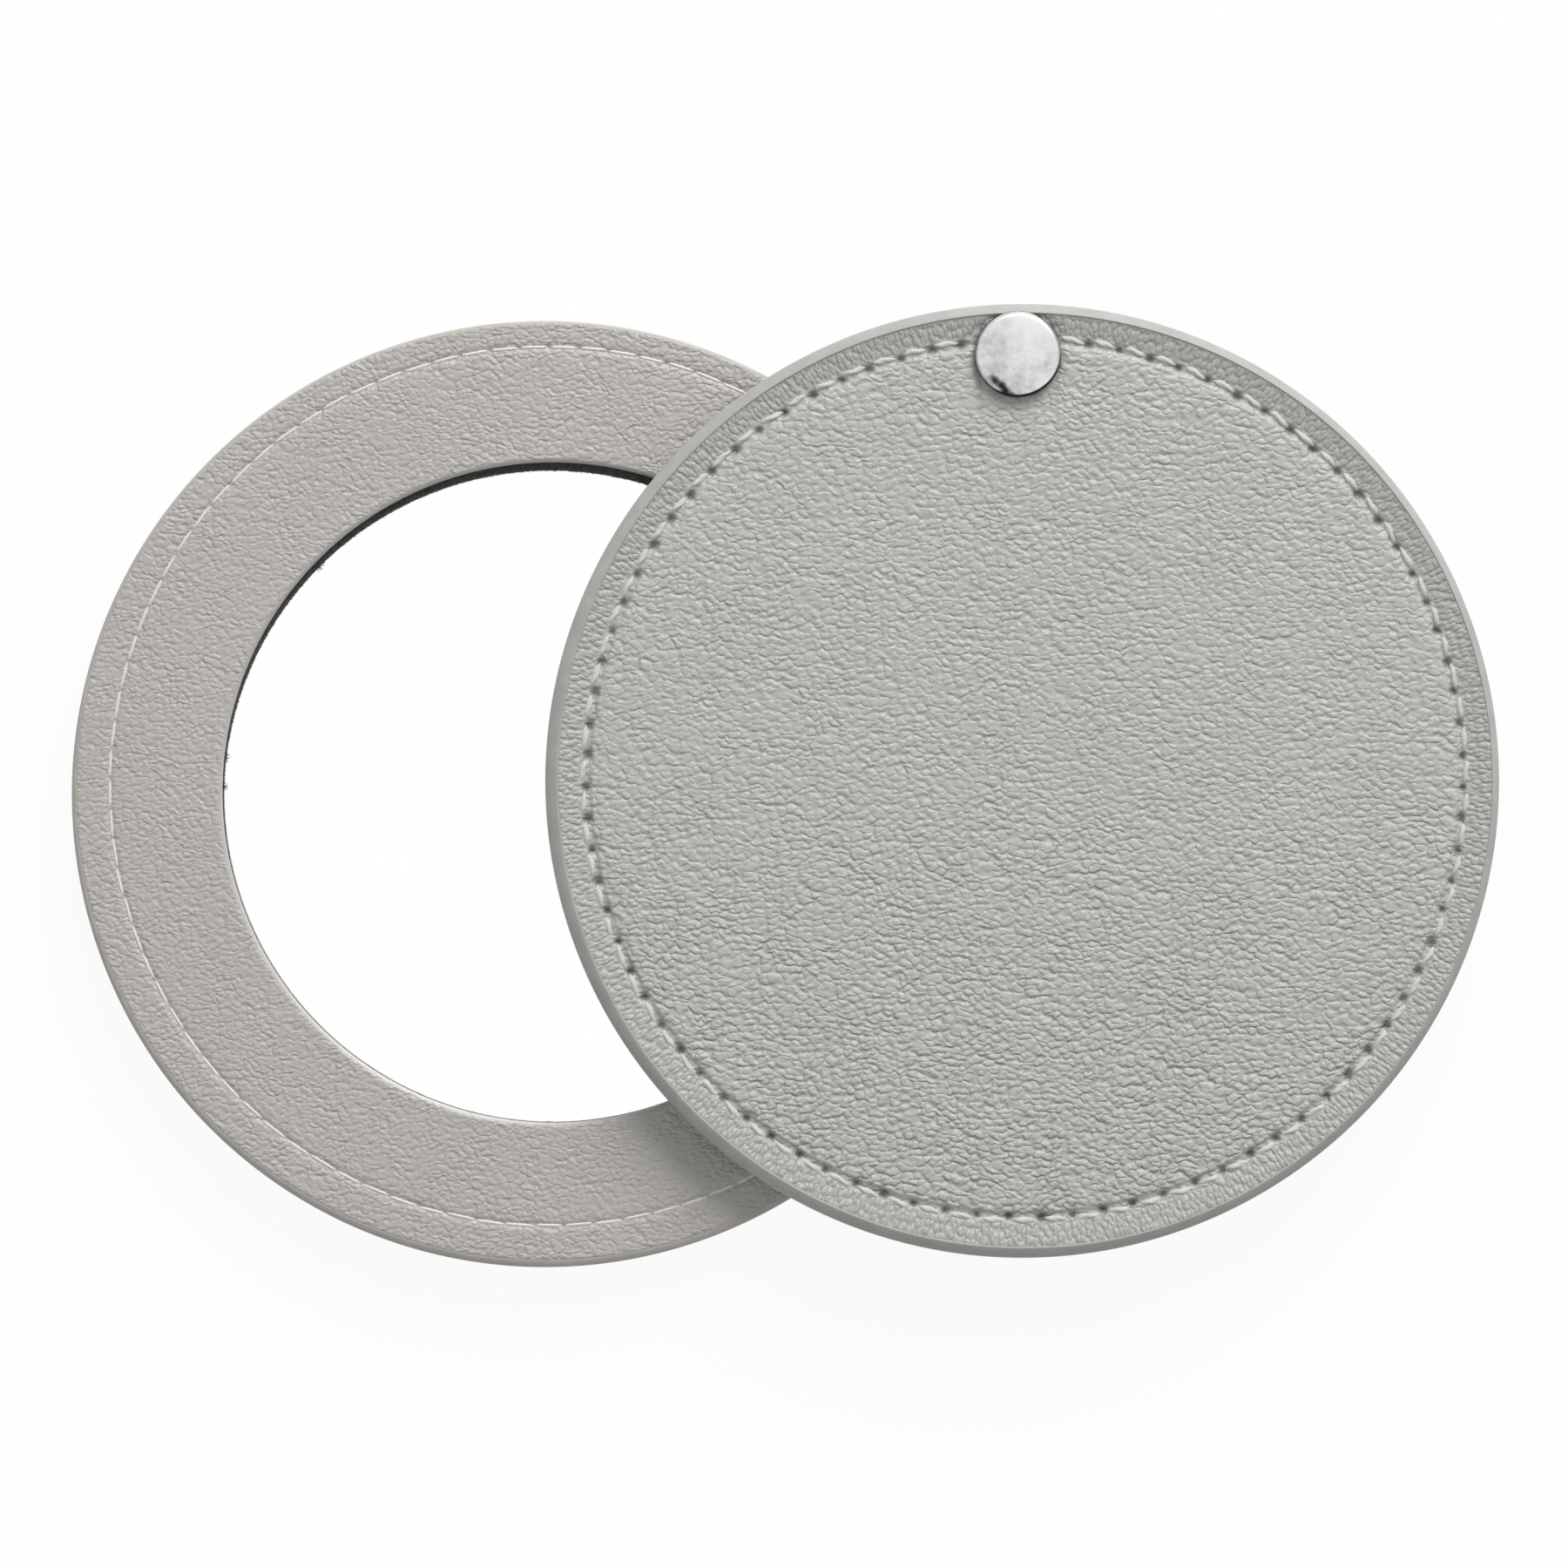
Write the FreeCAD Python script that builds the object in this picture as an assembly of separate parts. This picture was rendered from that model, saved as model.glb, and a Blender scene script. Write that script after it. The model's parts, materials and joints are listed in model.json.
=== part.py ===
"""Pocket mirror: a sewn round cover and a sewn round mirror disc on a riveted swing link.

Millimetres, +Z up. The mirror disc lies on its back at z = 0, and the cover lies above it.
The origin is the middle of the overall outline, in the plane of the mirror disc's back.
"""
import FreeCAD, Part
import math
import os

# Cover disc: two leatherette panels on a board, sewn, with a painted edge bead
cover_radius = 37.5
cover_panel = 0.9
cover_board_thickness = 1.1
cover_lining = 0.9
cover_edge_width = 0.9
cover_stitch_margin = 2.95
cover_stitch_shift_x = 0.17
cover_stitch_shift_y = 0.17
cover_stitch_length = 1.6
cover_stitch_width = 0.42
cover_stitch_pitch = 2.5
cover_stitch_slant = 8.0

# Mirror disc: leatherette ring over a dark packing, a board ring round the glass, base and back
mirror_radius = 37.5
ring_width = 11.35
ring_panel = 0.9
packing_thickness = 0.7
packing_shift_x = 0.15
packing_shift_y = -0.6
glass_thickness = 1.4
adhesive_thickness = 0.2
base_thickness = 0.8
mirror_lining = 0.8
mirror_edge_width = 0.6
glass_lap = 2.0
glass_arris = 0.2
mirror_stitch_margin = 2.7
mirror_stitch_shift_x = 0.35
mirror_stitch_shift_y = 0.6
mirror_stitch_length = 2.1
mirror_stitch_width = 0.32
mirror_stitch_pitch = 2.35

# Eased edges and stitch channels in the leatherette
edge_ease = 0.3
edge_drop = 0.25
edge_shoulder = 0.55
channel_depth = 0.3
channel_floor = 1.0
channel_slope = 0.35
stitch_sink = 0.03
stitch_taper = 0.3

# Open position: the mirror disc's centre seen from the cover's centre
open_shift_x = -37.67
open_shift_y = -1.04

# Cover rivet: domed cap with a tubular stem, and a flanged pin pressed into the stem
cap_radius = 3.4
cap_height = 1.25
cap_rim = 0.4
cap_wall = 0.35
cap_crown = 0.5
cap_sink = 0.1
cap_round = 0.2
cap_overhang = 0.3
rivet_shift = -0.35
stem_radius = 1.3
pin_radius = 0.75
rivet_flange_radius = 2.1
rivet_flange = 0.3

# Swing link and its rivet in the mirror disc
link_thickness = 0.7
link_eye_radius = 3.5
link_waist = 4.6
link_neck_round = 2.0
washer_thickness = 0.15
washer_radius = 3.2
shank_radius = 1.2
shank_wall = 1.5
burr_radius = 2.4
burr_thickness = 0.5

# Clearances
seat_gap = 0.02
glass_gap = 0.2
hole_gap = 0.05
running_gap = 0.05
flange_gap = 0.15
cap_gap = 0.05

# Heights of the layers, from the table up
base_bottom = mirror_lining
core_bottom = base_bottom + base_thickness
glass_bottom = core_bottom + adhesive_thickness
packing_bottom = glass_bottom + glass_thickness
ring_bottom = packing_bottom + packing_thickness
mirror_top = ring_bottom + ring_panel
link_bottom = mirror_top + washer_thickness + running_gap
link_top = link_bottom + link_thickness
cover_bottom = link_top + running_gap + washer_thickness
board_bottom = cover_bottom + cover_lining
panel_bottom = board_bottom + cover_board_thickness
cover_top = panel_bottom + cover_panel

# Radii that follow from the driving sizes
cover_core_radius = cover_radius - cover_edge_width
mirror_core_radius = mirror_radius - mirror_edge_width
window_radius = mirror_radius - ring_width
glass_radius = window_radius + glass_lap
core_bore = glass_radius + glass_gap
cover_stitch_radius = cover_radius - cover_stitch_margin
mirror_stitch_radius = mirror_radius - mirror_stitch_margin
rivet_distance = cover_core_radius - cap_radius + cap_overhang
pivot_distance = core_bore + shank_wall + shank_radius

# Places in plan: the two discs stand so that the overall outline is centred on the origin
outline_left = min(-cover_radius, open_shift_x - mirror_radius)
outline_right = max(cover_radius, open_shift_x + mirror_radius)
outline_low = min(-cover_radius, open_shift_y - mirror_radius)
outline_high = max(cover_radius, open_shift_y + mirror_radius)
cover_x = -(outline_left + outline_right) / 2
cover_y = -(outline_low + outline_high) / 2
mirror_x = cover_x + open_shift_x
mirror_y = cover_y + open_shift_y
rivet_rise = math.sqrt(rivet_distance ** 2 - rivet_shift ** 2)
rivet_x = cover_x + rivet_shift
rivet_y = cover_y + rivet_rise

# The link is as long closed as open, so its mirror pivot lies on the line midway between both
open_shift = math.hypot(open_shift_x, open_shift_y)
along_x = open_shift_x / open_shift
along_y = open_shift_y / open_shift
pivot_along = rivet_shift * along_x + rivet_rise * along_y - open_shift / 2
pivot_across = math.sqrt(pivot_distance ** 2 - pivot_along ** 2)
pivot_x = mirror_x + pivot_along * along_x + pivot_across * along_y
pivot_y = mirror_y + pivot_along * along_y - pivot_across * along_x
link_length = math.hypot(pivot_x - rivet_x, pivot_y - rivet_y)
link_angle = math.degrees(math.atan2(pivot_y - rivet_y, pivot_x - rivet_x))
closing_angle = 2 * math.degrees(math.asin(open_shift / 2 / link_length))

UP = FreeCAD.Vector(0, 0, 1)
OVERCUT = 1.0
MATCH = 1e-4


def point(radius, height):
    """A point of a turned profile."""
    return FreeCAD.Vector(radius, 0, height)


def turned(edges, x, y):
    """The solid turned from a closed profile about the upright axis at x, y."""
    face = Part.Face(Part.Wire(edges))
    solid = face.revolve(FreeCAD.Vector(0, 0, 0), UP, 360)
    solid.translate(FreeCAD.Vector(x, y, 0))
    return solid


def polyline(points):
    """Straight edges through the points and back to the first."""
    ends = points[1:] + points[:1]
    return [Part.LineSegment(a, b).toShape() for a, b in zip(points, ends)]


def disc(x, y, bottom, top, radius, bore=0.0):
    """A round plate, with a bore where one is given."""
    plate = Part.makeCylinder(radius, top - bottom, FreeCAD.Vector(x, y, bottom))
    if bore:
        plate = plate.cut(hole(x, y, bottom, top, bore))
    return plate


def hole(x, y, bottom, top, radius):
    """A cutter that runs past both faces of a plate."""
    height = top - bottom + 2 * OVERCUT
    return Part.makeCylinder(radius, height, FreeCAD.Vector(x, y, bottom - OVERCUT))


def rims(plate, height, radius):
    """The edge circles of this radius at this height."""
    edges = []
    for edge in plate.Edges:
        if edge.Degenerated or not isinstance(edge.Curve, Part.Circle):
            continue
        if math.hypot(edge.Curve.Radius - radius, edge.Curve.Center.z - height) < MATCH:
            edges.append(edge)
    return edges


def eased(plate, height, radius, ease):
    """Take the sharp corner off the rims of this radius at this height."""
    return plate.makeChamfer(ease, rims(plate, height, radius))


def channel(x, y, radius, face, outward):
    """The cutter of a stitch channel in a face at this height; outward is +1 on top, -1 below."""
    floor = face - outward * channel_depth
    past = face + outward * channel_depth
    half = channel_floor / 2
    spread = half + 2 * channel_slope
    profile = [
        point(radius - half, floor),
        point(radius + half, floor),
        point(radius + spread, past),
        point(radius - spread, past),
    ]
    return turned(polyline(profile), x, y)


def thread(length, width, floor, face):
    """One stitch along X whose ends dive into their needle holes."""
    half = length / 2
    profile = [
        FreeCAD.Vector(-half, -width / 2, floor),
        FreeCAD.Vector(half, -width / 2, floor),
        FreeCAD.Vector(half - stitch_taper, -width / 2, face),
        FreeCAD.Vector(stitch_taper - half, -width / 2, face),
    ]
    side = Part.Face(Part.Wire(polyline(profile)))
    return side.extrude(FreeCAD.Vector(0, width, 0))


def seam(x, y, radius, stitch, pitch, slant, keep_out=None):
    """Stitches round a circle; keep_out is a place and a distance that they stay away from."""
    count = round(2 * math.pi * radius / pitch)
    stitches = []
    for index in range(count):
        angle = 360.0 * (index + 0.5) / count + 90
        place = FreeCAD.Vector(
            x + radius * math.cos(math.radians(angle)),
            y + radius * math.sin(math.radians(angle)),
            0,
        )
        if keep_out and math.hypot(place.x - keep_out[0], place.y - keep_out[1]) < keep_out[2]:
            continue
        copy = stitch.copy()
        copy.rotate(FreeCAD.Vector(0, 0, 0), UP, angle + 90 + slant)
        copy.translate(place)
        stitches.append(copy)
    return Part.makeCompound(stitches)


def edge_bead(x, y, bottom, top, radius, width):
    """The painted bead round a disc: two shoulders that slope from the creases to a flat band."""
    inner = radius - width
    low = bottom + edge_drop
    high = top - edge_drop
    profile = [
        point(inner, low),
        point(radius, low + edge_shoulder),
        point(radius, high - edge_shoulder),
        point(inner, high),
    ]
    return turned(polyline(profile), x, y)


def save(name, shape):
    """Write one piece."""
    shape.exportStep("parts/" + name + ".step")


def make_cover():
    """The sewn cover: front panel, board, back panel, edge bead and two rows of stitches."""
    radius = cover_core_radius - seat_gap
    x, y = cover_x, cover_y
    seam_x = x + cover_stitch_shift_x
    seam_y = y + cover_stitch_shift_y
    stem_hole = hole(rivet_x, rivet_y, cover_bottom, cover_top, stem_radius + hole_gap)

    front = disc(x, y, panel_bottom, cover_top, radius)
    front = eased(front, cover_top, radius, edge_ease)
    front = front.cut(channel(seam_x, seam_y, cover_stitch_radius, cover_top, 1))
    seat = disc(rivet_x, rivet_y, cover_top - cap_sink, cover_top + OVERCUT, cap_radius + cap_gap)
    save("cover_front_panel", front.cut(seat).cut(stem_hole))

    save("cover_board", disc(x, y, board_bottom, panel_bottom, radius).cut(stem_hole))

    back = disc(x, y, cover_bottom, board_bottom, radius)
    back = eased(back, cover_bottom, radius, edge_ease)
    back = back.cut(channel(seam_x, seam_y, cover_stitch_radius, cover_bottom, -1))
    save("cover_back_panel", back.cut(stem_hole))

    save("cover_edge_coat", edge_bead(x, y, cover_bottom, cover_top, cover_radius, cover_edge_width))

    front_stitch = thread(cover_stitch_length, cover_stitch_width,
                          cover_top - channel_depth, cover_top - stitch_sink)
    back_stitch = thread(cover_stitch_length, cover_stitch_width,
                         cover_bottom + channel_depth, cover_bottom + stitch_sink)
    cap_reach = cap_radius + cap_gap + cover_stitch_length / 2
    washer_reach = washer_radius + running_gap + cover_stitch_length / 2
    save("cover_front_stitches", seam(seam_x, seam_y, cover_stitch_radius, front_stitch,
                                      cover_stitch_pitch, -cover_stitch_slant,
                                      (rivet_x, rivet_y, cap_reach)))
    save("cover_back_stitches", seam(seam_x, seam_y, cover_stitch_radius, back_stitch,
                                     cover_stitch_pitch, cover_stitch_slant,
                                     (rivet_x, rivet_y, washer_reach)))


def make_cover_rivet():
    """The domed cap with its tubular stem, the flanged pin in it and the washer on the link."""
    rim = cover_top - cap_sink
    shoulder = rim + cap_rim
    apex = rim + cap_height
    flange_top = link_bottom + rivet_flange
    bore = pin_radius + seat_gap
    pin_top = apex - cap_crown - running_gap

    rise = apex - shoulder
    dome_radius = (cap_radius ** 2 + rise ** 2) / (2 * rise)
    half_angle = math.asin(cap_radius / dome_radius) / 2
    dome_middle = point(dome_radius * math.sin(half_angle),
                        apex - dome_radius * (1 - math.cos(half_angle)))
    inner_rim = point(cap_radius - cap_wall, rim)
    outer_rim = point(cap_radius, rim)
    side_top = point(cap_radius, shoulder)
    top = point(0, apex)
    bore_top = point(0, apex - cap_crown)
    line = polyline([inner_rim, outer_rim, side_top])[:2]
    dome = Part.Arc(side_top, dome_middle, top).toShape()
    inside = polyline([
        top,
        bore_top,
        point(bore, apex - cap_crown),
        point(bore, flange_top),
        point(stem_radius, flange_top),
        point(stem_radius, apex - cap_crown),
        inner_rim,
    ])[:-1]
    cap = turned(line + [dome] + inside, rivet_x, rivet_y)
    save("rivet_cap", cap.makeFillet(cap_round, rims(cap, shoulder, cap_radius)))

    flange = disc(rivet_x, rivet_y, link_bottom, flange_top, rivet_flange_radius)
    pin = disc(rivet_x, rivet_y, link_bottom, pin_top, pin_radius)
    save("rivet_post", flange.fuse(pin).removeSplitter())

    save("pivot_washer", disc(rivet_x, rivet_y, cover_bottom - washer_thickness, cover_bottom,
                              washer_radius, stem_radius + hole_gap))


def make_link():
    """The flat link: an eye at each rivet, sunk on one face so that both heads lie flush."""
    sink = rivet_flange + running_gap
    eyes = [disc(0, 0, link_bottom, link_top, link_eye_radius),
            disc(link_length, 0, link_bottom, link_top, link_eye_radius)]
    bar = Part.makeBox(link_length, link_waist, link_thickness,
                       FreeCAD.Vector(0, -link_waist / 2, link_bottom))
    link = bar.fuse(eyes).removeSplitter()
    necks = []
    for edge in link.Edges:
        upright = isinstance(edge.Curve, Part.Line) and abs(edge.Curve.Direction.z) > 1 - MATCH
        if upright and abs(abs(edge.CenterOfMass.y) - link_waist / 2) < MATCH:
            necks.append(edge)
    link = link.makeFillet(link_neck_round, necks)
    sunk = rivet_flange_radius + flange_gap
    link = link.cut(hole(0, 0, link_bottom, link_top, stem_radius + running_gap))
    link = link.cut(disc(0, 0, link_bottom - OVERCUT, link_bottom + sink, sunk))
    link = link.cut(hole(link_length, 0, link_bottom, link_top, shank_radius + running_gap))
    link = link.cut(disc(link_length, 0, link_top - sink, link_top + OVERCUT, sunk))
    link.rotate(FreeCAD.Vector(0, 0, 0), UP, link_angle)
    link.translate(FreeCAD.Vector(rivet_x, rivet_y, 0))
    save("swing_link", link)


def make_link_rivet():
    """The rivet that carries the mirror disc on the link, its washer and its hidden burr."""
    x, y = pivot_x, pivot_y
    head_bottom = link_top - rivet_flange
    tail = base_bottom + seat_gap
    head = disc(x, y, head_bottom, link_top, rivet_flange_radius)
    shank = disc(x, y, tail, link_top, shank_radius)
    save("link_rivet", head.fuse(shank).removeSplitter())
    save("rivet_burr", disc(x, y, tail, base_bottom + burr_thickness, burr_radius,
                            shank_radius + seat_gap))
    save("link_washer", disc(x, y, mirror_top, mirror_top + washer_thickness,
                             washer_radius, shank_radius + hole_gap))


def make_mirror():
    """The sewn mirror disc: back, base board, glass on its pad, core, packing and ring."""
    radius = mirror_core_radius - seat_gap
    x, y = mirror_x, mirror_y
    seam_x = x + mirror_stitch_shift_x
    seam_y = y + mirror_stitch_shift_y
    shank_hole = hole(pivot_x, pivot_y, base_bottom, mirror_top, shank_radius + hole_gap)

    back = disc(x, y, 0, base_bottom, radius)
    back = eased(back, 0, radius, edge_ease)
    save("mirror_back_panel", back.cut(channel(seam_x, seam_y, mirror_stitch_radius, 0, -1)))

    base = disc(x, y, base_bottom, core_bottom, radius).cut(shank_hole)
    pocket = disc(pivot_x, pivot_y, base_bottom - OVERCUT, base_bottom + burr_thickness,
                  burr_radius + hole_gap)
    save("base_board", base.cut(pocket))

    save("glass_adhesive", disc(x, y, core_bottom, glass_bottom, glass_radius - glass_lap))

    glass = disc(x, y, glass_bottom, packing_bottom, glass_radius)
    for height in (glass_bottom, packing_bottom):
        glass = eased(glass, height, glass_radius, glass_arris)
    save("mirror_glass", glass)

    core = disc(x, y, core_bottom, packing_bottom, radius, core_bore)
    save("core_ring", core.cut(shank_hole))

    packing = disc(x, y, packing_bottom, ring_bottom, radius).cut(shank_hole)
    packing_window = hole(x + packing_shift_x, y + packing_shift_y, packing_bottom, ring_bottom,
                          window_radius)
    save("packing_ring", packing.cut(packing_window))

    ring = disc(x, y, ring_bottom, mirror_top, radius, window_radius)
    ring = eased(ring, mirror_top, radius, edge_ease)
    ring = eased(ring, mirror_top, window_radius, edge_ease)
    ring = ring.cut(channel(seam_x, seam_y, mirror_stitch_radius, mirror_top, 1))
    save("mirror_front_ring", ring.cut(shank_hole))

    save("mirror_edge_coat", edge_bead(x, y, 0, mirror_top, mirror_radius, mirror_edge_width))

    front_stitch = thread(mirror_stitch_length, mirror_stitch_width,
                          mirror_top - channel_depth, mirror_top - stitch_sink)
    back_stitch = thread(mirror_stitch_length, mirror_stitch_width,
                         channel_depth, stitch_sink)
    save("mirror_front_stitches", seam(seam_x, seam_y, mirror_stitch_radius, front_stitch,
                                       mirror_stitch_pitch, 0))
    save("mirror_back_stitches", seam(seam_x, seam_y, mirror_stitch_radius, back_stitch,
                                      mirror_stitch_pitch, 0))


os.makedirs("parts", exist_ok=True)
make_cover()
make_cover_rivet()
make_link()
make_link_rivet()
make_mirror()
print("cover centre", round(cover_x, 4), round(cover_y, 4))
print("mirror centre", round(mirror_x, 4), round(mirror_y, 4))
print("rivet axis", round(rivet_x, 4), round(rivet_y, 4))
print("mirror pivot axis", round(pivot_x, 4), round(pivot_y, 4))
print("link", round(link_length, 4), "long, closes through", round(closing_angle, 3), "degrees")
print("heights", [round(h, 3) for h in (glass_bottom, mirror_top, link_bottom, cover_bottom, cover_top)])
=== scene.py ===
"""Looks of the pocket mirror: grained leatherette, sewn seams, painted edges, rivet and glass.

Sizes are in millimetres in the shared frame and become metres when a mesh is made.
"""
import json
import math
import bmesh
import bpy
import numpy as np
from mathutils import Matrix, Vector


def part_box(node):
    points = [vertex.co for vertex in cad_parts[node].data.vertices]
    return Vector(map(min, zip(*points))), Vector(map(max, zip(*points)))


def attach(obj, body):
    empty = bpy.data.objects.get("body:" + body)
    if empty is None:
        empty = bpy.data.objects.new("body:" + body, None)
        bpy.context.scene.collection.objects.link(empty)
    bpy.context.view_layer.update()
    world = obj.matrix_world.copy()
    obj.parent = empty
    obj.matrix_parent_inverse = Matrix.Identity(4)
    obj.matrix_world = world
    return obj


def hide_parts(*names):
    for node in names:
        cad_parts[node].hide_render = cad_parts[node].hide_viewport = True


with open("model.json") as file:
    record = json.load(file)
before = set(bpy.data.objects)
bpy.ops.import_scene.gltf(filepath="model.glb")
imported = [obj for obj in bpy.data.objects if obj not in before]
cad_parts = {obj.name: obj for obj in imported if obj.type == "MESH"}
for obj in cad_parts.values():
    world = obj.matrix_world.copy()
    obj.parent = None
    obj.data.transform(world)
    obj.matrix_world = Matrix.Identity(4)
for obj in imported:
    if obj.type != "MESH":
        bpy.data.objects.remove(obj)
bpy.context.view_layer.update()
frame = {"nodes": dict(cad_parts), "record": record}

MM = 0.001
SEED = 11
FULL_TURN = 2 * np.pi
TWELVE_OCLOCK = np.pi / 2


def box_mm(node):
    """The lowest and highest corner of a node, in millimetres."""
    low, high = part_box(node)
    return np.array(low) / MM, np.array(high) / MM


def node_middle(node):
    """The middle of a node in plan."""
    low, high = box_mm(node)
    return (low[:2] + high[:2]) / 2


def node_radius(node):
    """Half the width of a round node."""
    low, high = box_mm(node)
    return (high[0] - low[0]) / 2


def node_bottom(node):
    """The lowest height of a node."""
    return box_mm(node)[0][2]


def node_top(node):
    """The greatest height of a node."""
    return box_mm(node)[1][2]


# Places and heights read from the frame
COVER = node_middle("cover_edge_coat")
COVER_RADIUS = node_radius("cover_edge_coat")
COVER_TOP = node_top("cover_front_panel")
COVER_PANEL = node_bottom("cover_front_panel")
COVER_LINING = node_top("cover_back_panel")
COVER_BOTTOM = node_bottom("cover_back_panel")
MIRROR = node_middle("mirror_edge_coat")
MIRROR_RADIUS = node_radius("mirror_edge_coat")
MIRROR_TOP = node_top("mirror_front_ring")
RING_BOTTOM = node_bottom("mirror_front_ring")
PACKING_BOTTOM = node_bottom("packing_ring")
PACKING_OUTER = node_radius("packing_ring")
MIRROR_LINING = node_top("mirror_back_panel")
MIRROR_BOTTOM = node_bottom("mirror_back_panel")
RIVET = node_middle("rivet_cap")
CAP_RADIUS = node_radius("rivet_cap")
CAP_TOP = node_top("rivet_cap")
MIRROR_SEAM = node_middle("mirror_front_stitches")

# Sizes that the solids have too
COVER_EDGE = 0.9
COVER_SEAM_SHIFT = np.array([0.17, 0.17])
COVER_SEAM_MARGIN = 2.95
MIRROR_SEAM_MARGIN = 2.7
COVER_STITCHES = 87
MIRROR_STITCHES = 93
CAP_SINK = 0.1
COVER_SEAM = COVER + COVER_SEAM_SHIFT
COVER_SEAM_RADIUS = COVER_RADIUS - COVER_SEAM_MARGIN
MIRROR_SEAM_RADIUS = MIRROR_RADIUS - MIRROR_SEAM_MARGIN

# The window was cut a little off centre, and the packing under it again, so it shows at the top and right
WINDOW_RADIUS = 26.18
WINDOW_SHIFT = np.array([0.59, 0.12])
PACKING_RADIUS = 26.02
PACKING_SHIFT = np.array([0.45, -0.32])

# The creases lie a little off centre, so the painted bands are widest at the left and below
MIRROR_EDGE = 0.42
COVER_CREASE_SHIFT = 0.22
COVER_CREASE_TURN = math.radians(15)
MIRROR_CREASE_SHIFT = 0.2
MIRROR_CREASE_TURN = math.radians(90)
CREASE_LAP = 0.03

# How a seam marks the leatherette: needle holes, the pull beside them and the groove; dark is the painted
# shade in the holes
COVER_MARKS = {"length": 0.37, "width": 0.30, "inward": 0.10, "depth": 0.22, "dark": 0.86, "shelf": -0.20,
               "pull": 0.10, "pull_inward": 0.4, "groove": 0.40, "outer": 2.05, "floor": 0.25, "inner": 0.40,
               "pucker": 0.0}
LINING_MARKS = dict(COVER_MARKS, shelf=0.0, groove=0.2)
MIRROR_MARKS = {"length": 0.14, "width": 0.12, "inward": 0.0, "depth": 0.05, "dark": 0.1, "shelf": 0.0,
                "pull": 0.03, "pull_inward": 0.2, "groove": 0.12, "outer": 0.5, "floor": 0.0, "inner": 0.45,
                "pucker": 0.06}
HOLE_STRAY = 0.05
HOLE_SWAY = 0.06
HOLE_SIZES = (0.8, 1.2)
HOLE_SHARPNESS = 1.5
PULL_LENGTH = 0.65
PULL_WIDTH = 0.5
PUCKER_LENGTH = 0.22
PUCKER_WIDTH = 0.2
PUCKER_OUTWARD = 0.32

# Stitches: sizes of a thread, and how one differs from the next
COVER_THREAD = {"length": 2.20, "width": 0.46, "height": 0.34, "dive": 0.22, "slant": -6.0, "sway": 6.0,
                "outward": 0.14, "twist": 1.6, "sink": 0.03, "lens": 2.5, "ply": 0.20}
MIRROR_THREAD = {"length": 2.48, "width": 0.27, "height": 0.24, "dive": 0.08, "slant": 0.0, "sway": 1.5,
                 "outward": 0.0, "twist": 5.0, "sink": 0.03, "lens": 6.0, "ply": 0.12}
THREAD_RINGS = 15
THREAD_SIDES = 10
THREAD_STRETCH = (0.92, 1.06)
THREAD_STRAY = 0.05
THREAD_TIP = 0.02
THREAD_FULLNESS = 0.7
DIVE_POWER = 3
SHADE_POWER = 6

# Rings of a panel's mesh: the field ends before the seam, where the rings lie close
HUB_RADIUS = 0.5
FIELD_RINGS = 10
COVER_FIELD_GAP = 2.0
COVER_SEAM_SPAN = (-1.8, 1.2)
COVER_SEAM_RINGS = 34
COVER_RIM_INSET = 0.2
RIM_START = 0.2
RIM_BLEND = 0.4
MIRROR_FIELD_GAP = 1.0
MIRROR_SEAM_SPAN = 0.9
MIRROR_SEAM_RINGS = 21
MIRROR_RIM_SHARES = (0.2, 0.4, 0.6, 0.8)
COVER_COLUMNS = COVER_STITCHES * 16
COVER_LINING_COLUMNS = COVER_STITCHES * 10
COVER_BAND_COLUMNS = COVER_STITCHES * 4
RING_COLUMNS = MIRROR_STITCHES * 14
MIRROR_LINING_COLUMNS = MIRROR_STITCHES * 10
MIRROR_BAND_COLUMNS = MIRROR_STITCHES * 4
PACKING_COLUMNS = 360
CAP_COLUMNS = 240

# Angles in degrees above which an edge of a mesh is shown sharp
PANEL_SHARP = 50
EDGE_SHARP = 40
THREAD_SHARP = 80
FIBRE_SHARP = 60

# Painted edges: share of the width outward from the crease, and drop below the disc's face
COVER_BAND = [(0.0, -0.10), (0.06, -0.23), (0.12, -0.265), (0.18, -0.255), (0.24, -0.23), (0.88, 0.16),
              (0.94, 0.26), (1.0, 0.50)]
LINING_BAND = [(0.0, 0.10), (0.10, 0.06), (0.18, 0.07), (0.88, 0.54), (0.94, 0.62), (1.0, 0.80)]
MIRROR_BAND = [(0.0, 0.07), (0.08, 0.055), (0.20, 0.06), (0.80, 0.24), (0.94, 0.34), (1.0, 0.50)]
BAND_TUCK = 0.25

# Pressed edge of the window: distance outward from the cut, and drop below the ring's face
WINDOW_EDGE = [(0.0, 0.42), (0.03, 0.28), (0.07, 0.18), (0.12, 0.12), (0.22, 0.05), (0.28, 0.02), (0.34, 0.0)]
WINDOW_FIELD_GAP = 0.5
SMOOTH_START = 0.10
SMOOTH_REACH = 0.25

# Eased outer edge of the ring and of the lining: distance inward from it, and drop below the face
RING_EDGE = [(0.16, 0.0), (0.10, 0.01), (0.04, 0.04), (0.0, 0.08)]

# The cap: a dome, a bevel and an upright side with an eased foot
CAP_BEVEL = 0.45
CAP_DOME = 0.20
CAP_DOME_RINGS = 30
CAP_BEVEL_TURNS = np.radians(np.linspace(12, 90, 8))
CAP_SIDE = 0.3
CAP_FOOT = 0.12
CAP_HUB = 0.05

# Round the cap: room for holes and threads, how it presses the leatherette, and the painted contact shade it
# leaves round itself
HOLE_ROOM = CAP_RADIUS + 0.3
HOLE_ROOM_FADE = 0.4
THREAD_ROOM = CAP_RADIUS + 0.55
CAP_PRESS = 0.10
CAP_PRESS_REACH = 1.0
CAP_PRESS_EDGE = 0.6
CAP_SHADE = 0.5
CAP_SHADE_REACH = 0.42
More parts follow.
